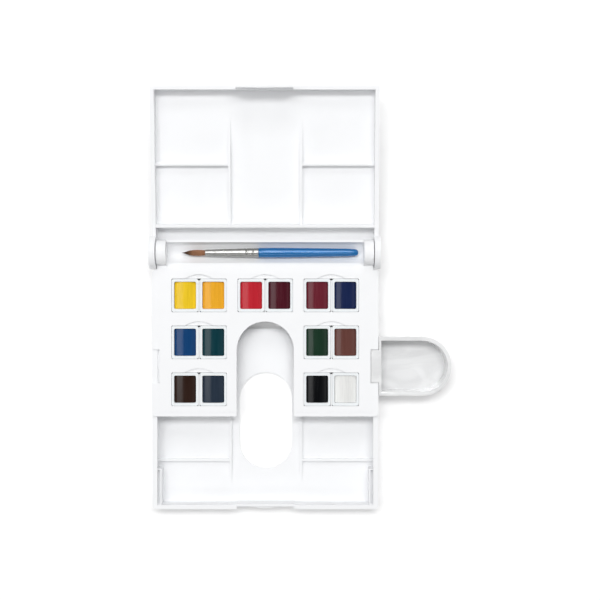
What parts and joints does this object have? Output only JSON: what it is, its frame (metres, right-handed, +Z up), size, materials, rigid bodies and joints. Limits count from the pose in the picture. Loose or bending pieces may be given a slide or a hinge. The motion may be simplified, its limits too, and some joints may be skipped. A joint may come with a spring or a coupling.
{
  "type": "watercolour paint set",
  "caption": "Folding watercolour box laid open: tray of half pans, mixing lid, slide-out palette with a thumb hole, clip-on water dish and a small brush.",
  "frame": {"origin": "on the table under the middle of the box, 50 mm in front of the lid's hinge axis", "axes": "+Z up, +X to the user's right towards the dish, +Y away from the user towards the open lid"},
  "size_m": [0.1808, 0.2532, 0.0379],
  "materials": {
    "white_plastic": "satin white",
    "dish_plastic": "gloss white",
    "pan_plastic": "satin, cool white",
    "handle_lacquer": "gloss blue lacquer",
    "ferrule_metal": "bright plated",
    "brush_hair": "soft hair",
    "paint_1": "dried paint with a slight gloss",
    "paint_2": "dried paint with a slight gloss",
    "paint_3": "dried paint with a slight gloss",
    "paint_4": "dried paint with a slight gloss",
    "paint_5": "dried paint with a slight gloss",
    "paint_6": "dried paint with a slight gloss",
    "paint_7": "dried paint with a slight gloss",
    "paint_8": "dried paint with a slight gloss",
    "paint_9": "dried paint with a slight gloss",
    "paint_10": "dried paint with a slight gloss",
    "paint_11": "dried paint with a slight gloss",
    "paint_12": "dried paint with a slight gloss",
    "paint_13": "dried paint with a slight gloss",
    "paint_14": "dried paint with a slight gloss"
  },
  "bodies": {
    "tray": {"tray": "white_plastic"},
    "lid": {"lid": "white_plastic"},
    "palette": {"palette": "white_plastic"},
    "side_dish": {"side_dish": "dish_plastic"},
    "brush": {"brush_handle": "handle_lacquer", "brush_ferrule": "ferrule_metal", "brush_tuft": "brush_hair"},
    "half_pan_1": {"pan_1": "pan_plastic", "cake_1": "paint_1"},
    "half_pan_2": {"pan_2": "pan_plastic", "cake_2": "paint_2"},
    "half_pan_3": {"pan_3": "pan_plastic", "cake_3": "paint_3"},
    "half_pan_4": {"pan_4": "pan_plastic", "cake_4": "paint_4"},
    "half_pan_5": {"pan_5": "pan_plastic", "cake_5": "paint_5"},
    "half_pan_6": {"pan_6": "pan_plastic", "cake_6": "paint_6"},
    "half_pan_7": {"pan_7": "pan_plastic", "cake_7": "paint_7"},
    "half_pan_8": {"pan_8": "pan_plastic", "cake_8": "paint_8"},
    "half_pan_9": {"pan_9": "pan_plastic", "cake_9": "paint_9"},
    "half_pan_10": {"pan_10": "pan_plastic", "cake_10": "paint_10"},
    "half_pan_11": {"pan_11": "pan_plastic", "cake_11": "paint_11"},
    "half_pan_12": {"pan_12": "pan_plastic", "cake_12": "paint_12"},
    "half_pan_13": {"pan_13": "pan_plastic", "cake_13": "paint_13"},
    "half_pan_14": {"pan_14": "pan_plastic", "cake_14": "paint_14"}
  },
  "joints": [
    {"name": "lid_hinge", "type": "hinge", "parent": "tray", "child": "lid", "pos_m": [0, 0.05, 0.017], "axis": [-1, 0, 0], "range_deg": [-173, 0]},
    {"name": "palette_slide", "type": "slide", "parent": "tray", "child": "palette", "axis": [0, -1, 0], "range_m": [-0.056, 0]},
    {"name": "dish_lift", "type": "slide", "parent": "tray", "child": "side_dish", "axis": [0, 0, 1], "range_m": [0, 0.015]},
    {"name": "brush_lift", "type": "slide", "parent": "tray", "child": "brush", "axis": [0, 0, 1], "range_m": [0, 0.015]},
    {"name": "pan_1_lift", "type": "slide", "parent": "tray", "child": "half_pan_1", "axis": [0, 0, 1], "range_m": [0, 0.012]},
    {"name": "pan_2_lift", "type": "slide", "parent": "tray", "child": "half_pan_2", "axis": [0, 0, 1], "range_m": [0, 0.012]},
    {"name": "pan_3_lift", "type": "slide", "parent": "tray", "child": "half_pan_3", "axis": [0, 0, 1], "range_m": [0, 0.012]},
    {"name": "pan_4_lift", "type": "slide", "parent": "tray", "child": "half_pan_4", "axis": [0, 0, 1], "range_m": [0, 0.012]},
    {"name": "pan_5_lift", "type": "slide", "parent": "tray", "child": "half_pan_5", "axis": [0, 0, 1], "range_m": [0, 0.012]},
    {"name": "pan_6_lift", "type": "slide", "parent": "tray", "child": "half_pan_6", "axis": [0, 0, 1], "range_m": [0, 0.012]},
    {"name": "pan_7_lift", "type": "slide", "parent": "tray", "child": "half_pan_7", "axis": [0, 0, 1], "range_m": [0, 0.012]},
    {"name": "pan_8_lift", "type": "slide", "parent": "tray", "child": "half_pan_8", "axis": [0, 0, 1], "range_m": [0, 0.012]},
    {"name": "pan_9_lift", "type": "slide", "parent": "tray", "child": "half_pan_9", "axis": [0, 0, 1], "range_m": [0, 0.012]},
    {"name": "pan_10_lift", "type": "slide", "parent": "tray", "child": "half_pan_10", "axis": [0, 0, 1], "range_m": [0, 0.012]},
    {"name": "pan_11_lift", "type": "slide", "parent": "tray", "child": "half_pan_11", "axis": [0, 0, 1], "range_m": [0, 0.012]},
    {"name": "pan_12_lift", "type": "slide", "parent": "tray", "child": "half_pan_12", "axis": [0, 0, 1], "range_m": [0, 0.012]},
    {"name": "pan_13_lift", "type": "slide", "parent": "tray", "child": "half_pan_13", "axis": [0, 0, 1], "range_m": [0, 0.012]},
    {"name": "pan_14_lift", "type": "slide", "parent": "tray", "child": "half_pan_14", "axis": [0, 0, 1], "range_m": [0, 0.012]}
  ]
}
